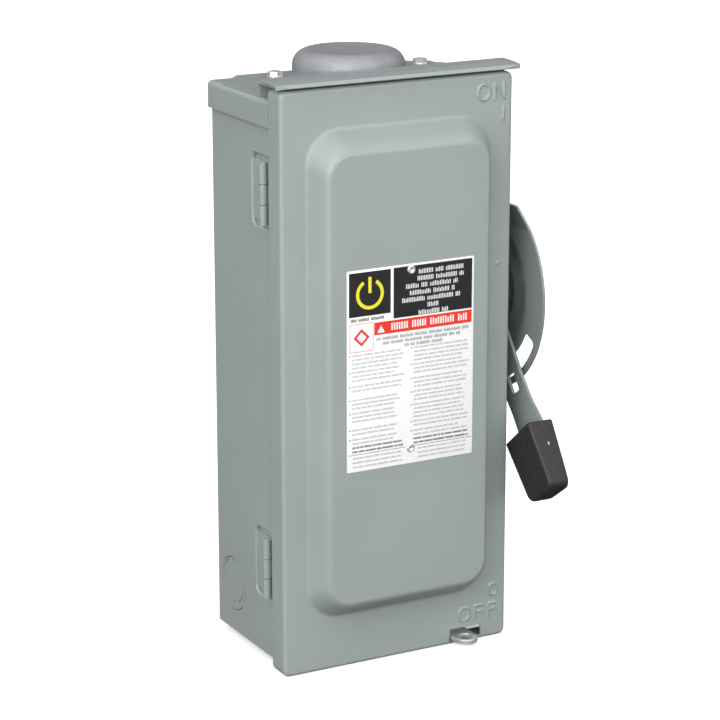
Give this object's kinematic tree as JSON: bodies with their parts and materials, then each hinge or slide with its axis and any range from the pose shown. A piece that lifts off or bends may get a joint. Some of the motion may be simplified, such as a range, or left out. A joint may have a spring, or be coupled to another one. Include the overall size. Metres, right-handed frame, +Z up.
{
  "type": "ac disconnect box",
  "caption": "Rainproof steel disconnect switch enclosure with a hinged front door, a top hub cap and a side handle that drives a fused blade switch inside.",
  "frame": {"origin": "in the wall plane (backs of the four mounting bosses), at the middle of the four mounting holes", "axes": "+X to the viewer's right, +Y into the wall, +Z up"},
  "size_m": [0.1859, 0.1474, 0.381],
  "materials": {
    "grey_paint": "satin baked enamel",
    "zinc": "bright zinc plate",
    "hub_metal": "satin cast",
    "steel": "plain",
    "copper": "bright, lightly oxidised",
    "tin_plate": "tin plated",
    "aluminium": "extruded",
    "black_vinyl": "dipped, semi-matt",
    "black_moulding": "moulded thermoset",
    "white_moulding": "moulded nylon",
    "fibre": "vulcanised fibre",
    "clear_grey": "sheet",
    "label": "printed film",
    "gasket_rubber": "closed-cell",
    "green_zinc": "green plated"
  },
  "bodies": {
    "enclosure": {"enclosure_wrapper": "grey_paint", "bottom_endwall": "grey_paint", "top_endcap": "grey_paint", "drip_shield": "grey_paint", "hub_gasket": "gasket_rubber", "hub_closing_cap": "hub_metal", "hub_cap_screws": "zinc", "body_hinge_leaves": "grey_paint", "hinge_pins": "zinc", "padlock_hasp": "zinc", "hasp_rivets": "zinc", "shaft_bushing": "white_moulding", "handle_guard": "grey_paint", "guard_rivets": "zinc", "toggle_spring": "steel", "switch_base": "black_moulding", "load_base": "black_moulding", "base_screws": "zinc", "line_jaws": "copper", "load_jaws": "copper", "fuse_clips": "copper", "fuse_tubes": "fibre", "fuse_ferrules": "tin_plate", "load_straps": "copper", "line_lugs": "aluminium", "line_lug_screws": "steel", "load_lugs": "aluminium", "load_lug_screws": "steel", "arc_chute_frames": "fibre", "arc_plates": "steel", "line_shield": "clear_grey", "neutral_insulator": "white_moulding", "neutral_bar": "copper", "neutral_lugs": "aluminium", "neutral_lug_screws": "steel", "ground_bar": "aluminium", "ground_screws": "green_zinc"},
    "door": {"door_panel": "grey_paint", "door_label": "label", "label_rivets": "zinc", "chart_clip": "zinc", "door_staple": "zinc", "door_hinge_leaves": "grey_paint"},
    "handle": {"handle_arm": "grey_paint", "handle_grip": "black_vinyl", "operating_shaft": "zinc", "handle_nut": "zinc", "drive_crank": "zinc"},
    "rotor": {"crossbar": "black_moulding", "moving_blades": "copper"}
  },
  "joints": [
    {"name": "door_hinge", "type": "hinge", "parent": "enclosure", "child": "door", "pos_m": [-0.0809, -0.0791, 0], "axis": [0, 0, -1], "range_deg": [0, 125]},
    {"name": "handle_turn", "type": "hinge", "parent": "enclosure", "child": "handle", "pos_m": [0.09, -0.0527, 0.0372], "axis": [-1, 0, 0], "range_deg": [0, 88]},
    {"name": "rotor_turn", "type": "hinge", "parent": "enclosure", "child": "rotor", "pos_m": [0.012, -0.0527, 0.0372], "axis": [-1, 0, 0], "range_deg": [0, 44]}
  ],
  "couplings": [
    {"joint": "rotor_turn", "follows": "handle_turn", "ratio": 0.5}
  ]
}
